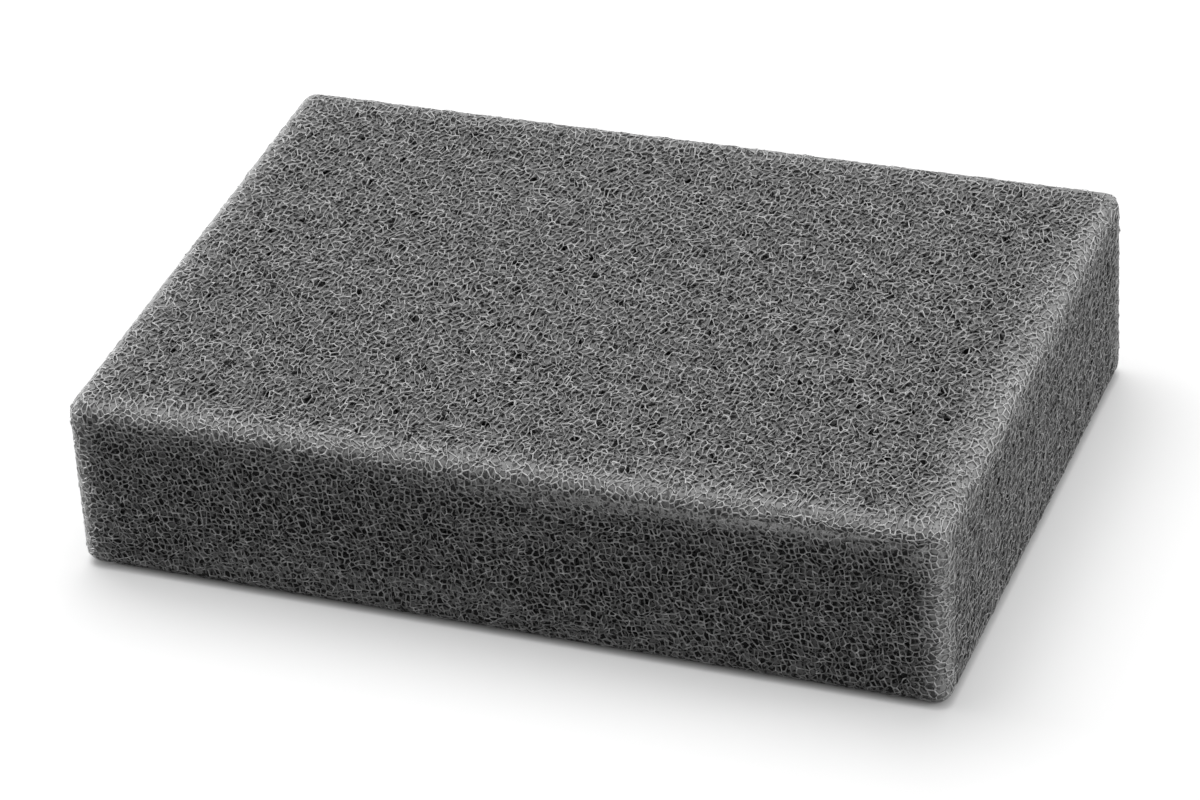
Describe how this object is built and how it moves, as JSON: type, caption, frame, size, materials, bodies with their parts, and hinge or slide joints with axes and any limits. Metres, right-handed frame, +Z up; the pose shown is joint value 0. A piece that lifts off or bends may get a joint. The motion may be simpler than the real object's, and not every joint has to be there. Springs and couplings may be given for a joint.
{
  "type": "foam cushion",
  "caption": "Rectangular cushion block of open-cell foam with softly rounded edges, cut to a slightly uneven thickness, resting flat on its underside.",
  "frame": {"origin": "centre of the block's footprint, on the flat underside that it rests on", "axes": "+X along the long edges, +Y from the front face to the back face, +Z up through the thickness"},
  "size_m": [0.15, 0.104, 0.0359],
  "materials": {
    "foam": "matte"
  },
  "bodies": {
    "root": {"foam_block": "foam"}
  },
  "joints": []
}
